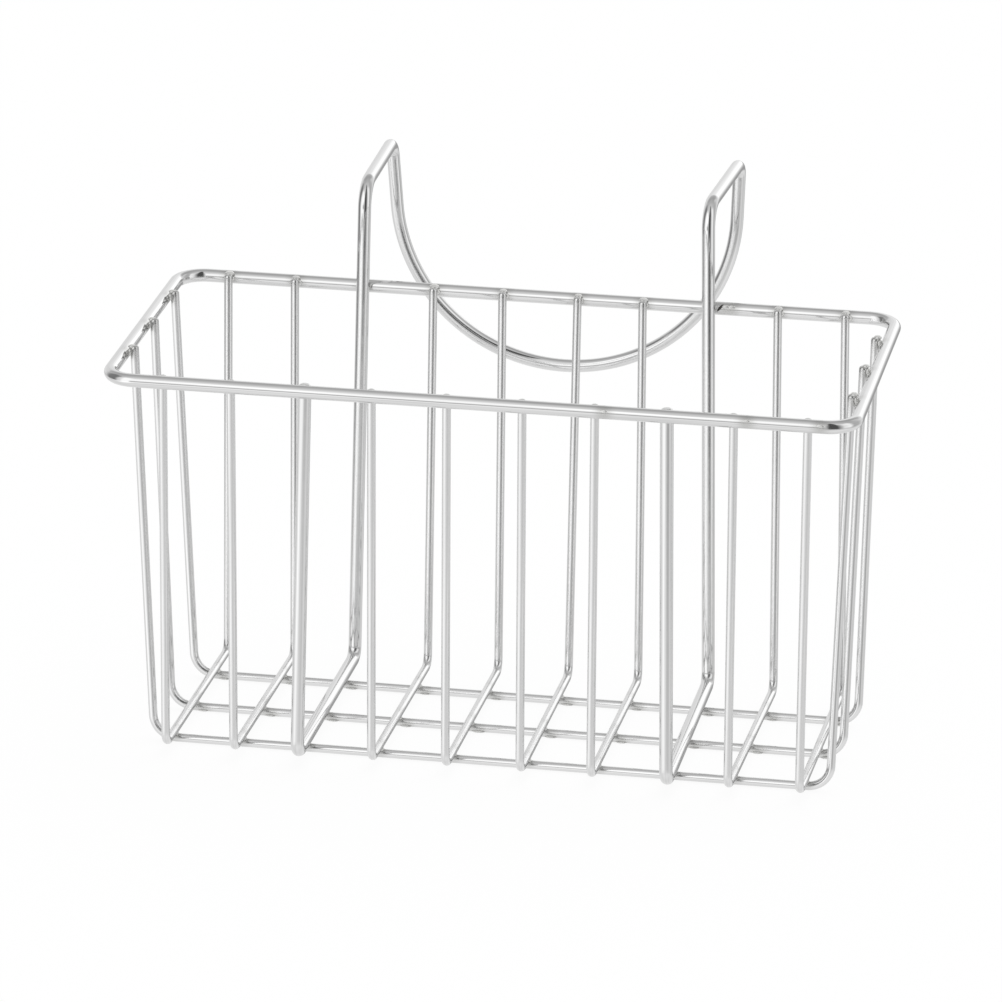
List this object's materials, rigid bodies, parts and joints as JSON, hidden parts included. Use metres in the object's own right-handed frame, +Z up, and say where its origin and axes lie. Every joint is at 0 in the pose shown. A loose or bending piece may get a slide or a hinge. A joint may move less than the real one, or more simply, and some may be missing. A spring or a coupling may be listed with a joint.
{
  "type": "sink organizer basket",
  "caption": "Open wire basket on a round-wire rim, with a hanger that saddles a sink divider and drops behind it in an arc.",
  "frame": {"origin": "middle of the whole basket's footprint, at the surface that its floor stands on", "axes": "+X along the basket's length, +Y towards the side that hangs on the divider, +Z up"},
  "size_m": [0.2374, 0.1541, 0.1663],
  "materials": {
    "rim_steel": "polished drawn stainless wire with faint lengthwise drawing marks",
    "hanger_steel": "polished drawn stainless wire, the brightest of the three",
    "thin_wire_steel": "polished drawn stainless wire, greyer at its welds"
  },
  "bodies": {
    "root": {"rim_wire": "rim_steel", "hanger_wire": "hanger_steel", "cross_wire_1": "thin_wire_steel", "cross_wire_2": "thin_wire_steel", "cross_wire_3": "thin_wire_steel", "cross_wire_4": "thin_wire_steel", "cross_wire_5": "thin_wire_steel", "cross_wire_6": "thin_wire_steel", "cross_wire_7": "thin_wire_steel", "cross_wire_8": "thin_wire_steel", "long_wire_front": "thin_wire_steel", "long_wire_middle": "thin_wire_steel", "long_wire_back": "thin_wire_steel"}
  },
  "joints": []
}
